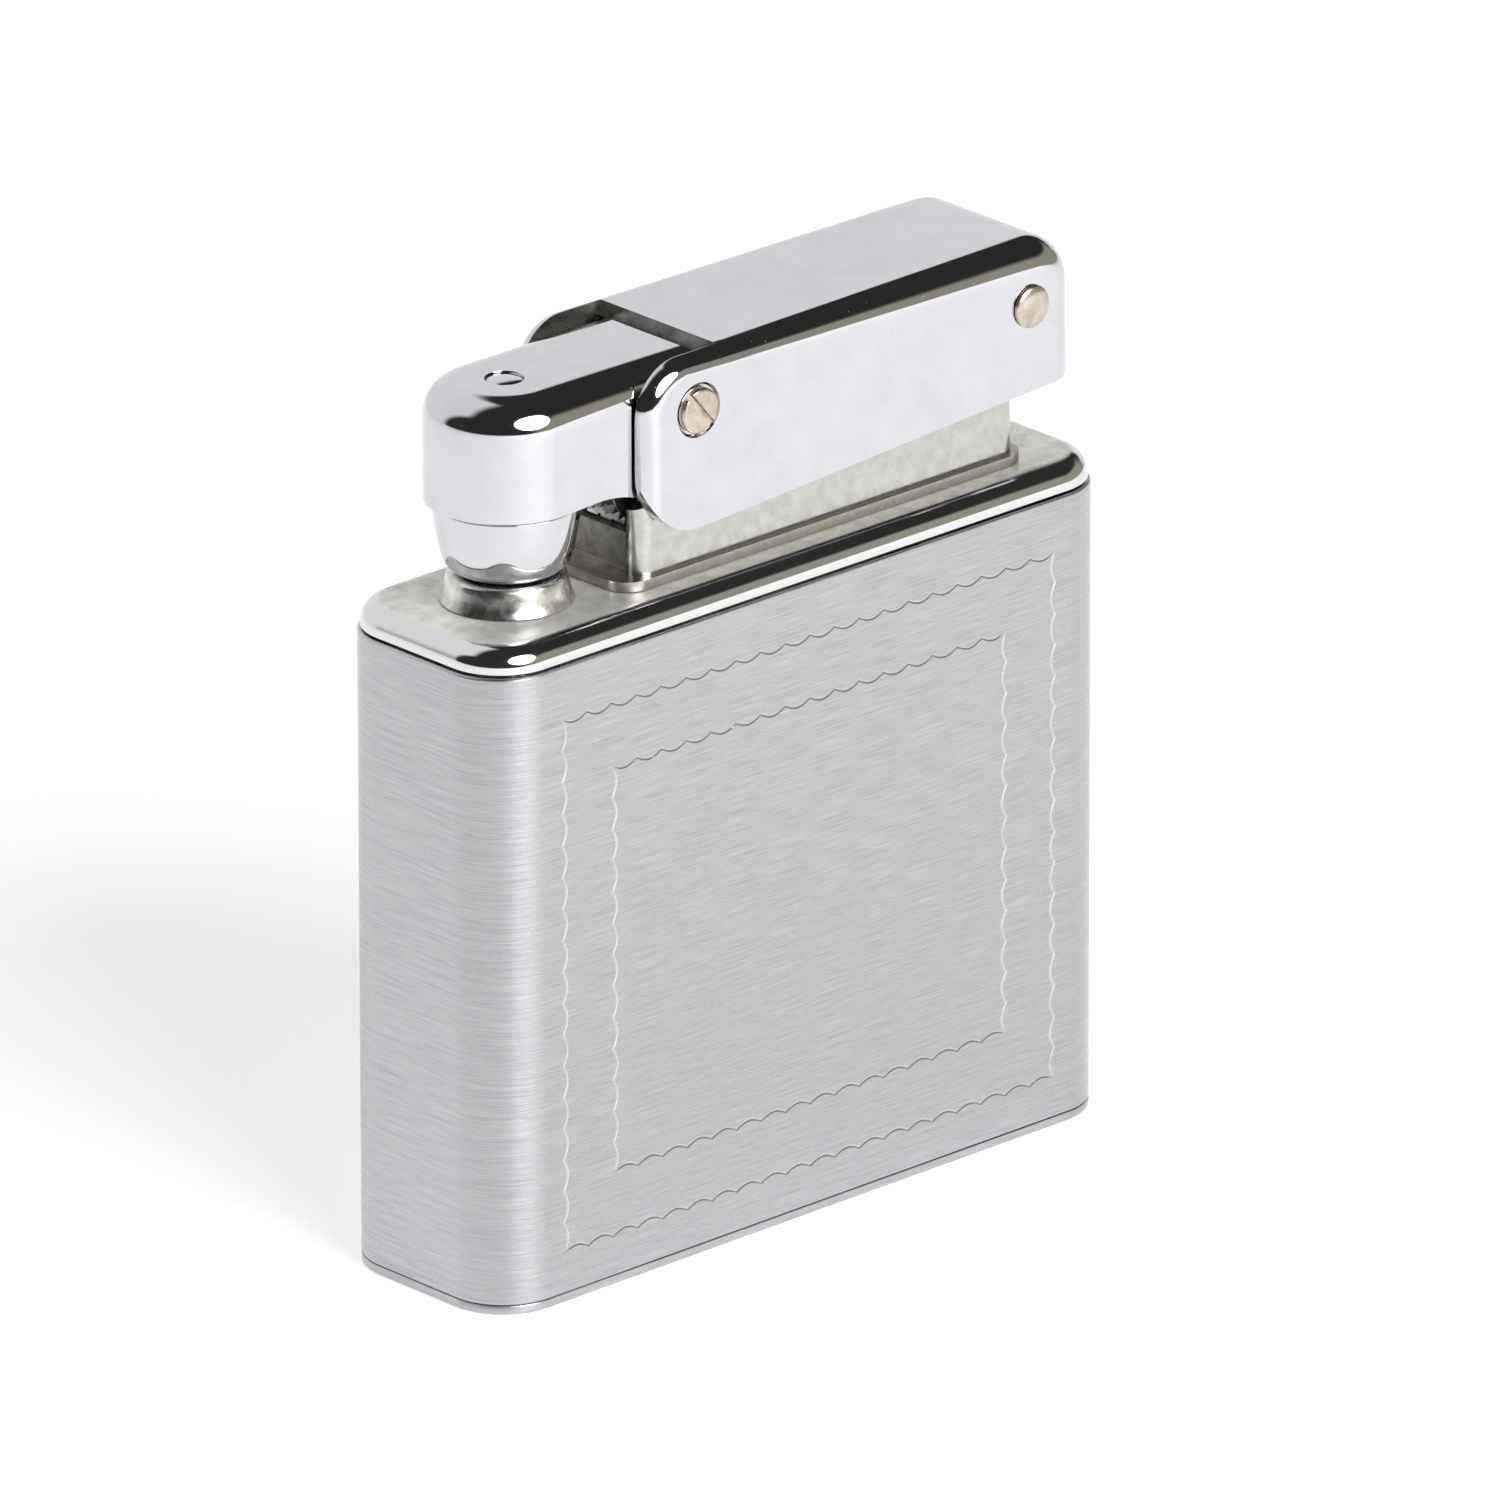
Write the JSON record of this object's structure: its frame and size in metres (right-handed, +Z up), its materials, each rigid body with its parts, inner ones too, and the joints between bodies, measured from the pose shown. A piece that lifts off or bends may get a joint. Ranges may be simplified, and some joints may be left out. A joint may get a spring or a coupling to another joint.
{
  "type": "pocket lighter",
  "caption": "Chrome petrol pocket lighter: pressing the rear of the thumb lever lifts the snuffer arm off the wick and turns the spark wheel.",
  "frame": {"origin": "centre of the base, on the surface it stands on", "axes": "+X towards the thumb end of the lever, +Y towards the back of the case, +Z up"},
  "size_m": [0.0452, 0.0132, 0.0508],
  "materials": {
    "satin_chrome": "satin, brushed lengthwise",
    "polished_chrome": "polished",
    "nickel": "aged",
    "steel": "plain",
    "brass": "plain",
    "cotton": "matte",
    "rubber": "matte",
    "flint_stone": "rough"
  },
  "bodies": {
    "case": {"bottom_plate": "satin_chrome", "case_sleeve": "satin_chrome", "fuel_tank": "brass", "wadding": "cotton", "top_plate": "polished_chrome", "mechanism_frame": "polished_chrome", "frame_rivet_1": "steel", "frame_rivet_2": "steel", "chimney_collar": "polished_chrome", "chimney_cup": "polished_chrome", "wick_tube": "brass", "wick": "cotton", "pivot_screw": "nickel", "pivot_bush": "steel", "return_spring": "steel", "wheel_axle": "steel", "flint_tube": "brass", "flint": "flint_stone", "flint_spring": "steel", "filler_washer": "rubber"},
    "lever": {"thumb_lever": "polished_chrome", "lever_pin": "nickel"},
    "arm": {"snuffer_arm": "polished_chrome", "snuffer_seal": "rubber", "snuffer_rivet": "polished_chrome", "drive_pawl": "steel"},
    "link": {"toggle_link": "steel"},
    "bar": {"push_bar": "steel", "link_pin": "steel"},
    "wheel": {"spark_wheel": "steel", "ratchet_wheel": "steel"},
    "flint_plug": {"flint_screw": "brass"},
    "filler_plug": {"filler_screw": "brass"}
  },
  "joints": [
    {"name": "lever_press", "type": "hinge", "parent": "case", "child": "lever", "pos_m": [-0.00705, 0, 0.0478], "axis": [0, 1, 0], "range_deg": [0, 8.5], "stiffness_Nm_per_rad": 0.8, "springref_deg": -5.73},
    {"name": "arm_lift", "type": "hinge", "parent": "case", "child": "arm", "pos_m": [-0.00705, 0, 0.0478], "axis": [0, 1, 0], "range_deg": [0, 45]},
    {"name": "link_swing", "type": "hinge", "parent": "lever", "child": "link", "pos_m": [0.0172, 0, 0.0474], "axis": [0, 1, 0], "range_deg": [0, 14.7]},
    {"name": "bar_slide", "type": "slide", "parent": "case", "child": "bar", "axis": [-1, 0, 0], "range_m": [0, 0.0023], "deforming": ["return_spring"]},
    {"name": "wheel_spin", "type": "hinge", "parent": "case", "child": "wheel", "pos_m": [-0.0077, 0, 0.0434], "axis": [0, 1, 0], "range_deg": [0, 60]},
    {"name": "flint_screw_turn", "type": "hinge", "parent": "case", "child": "flint_plug", "pos_m": [-0.0077, 0, 0.001], "axis": [0, 0, 1], "continuous": true},
    {"name": "filler_screw_turn", "type": "hinge", "parent": "case", "child": "filler_plug", "pos_m": [0.01, 0, 0.001], "axis": [0, 0, 1], "continuous": true}
  ],
  "couplings": [
    {"joint": "arm_lift", "follows": "lever_press", "ratio": 5.29},
    {"joint": "link_swing", "follows": "lever_press", "ratio": 1.7235},
    {"joint": "bar_slide", "follows": "lever_press", "m_per_rad": 0.0155},
    {"joint": "wheel_spin", "follows": "lever_press", "ratio": 7.05}
  ]
}
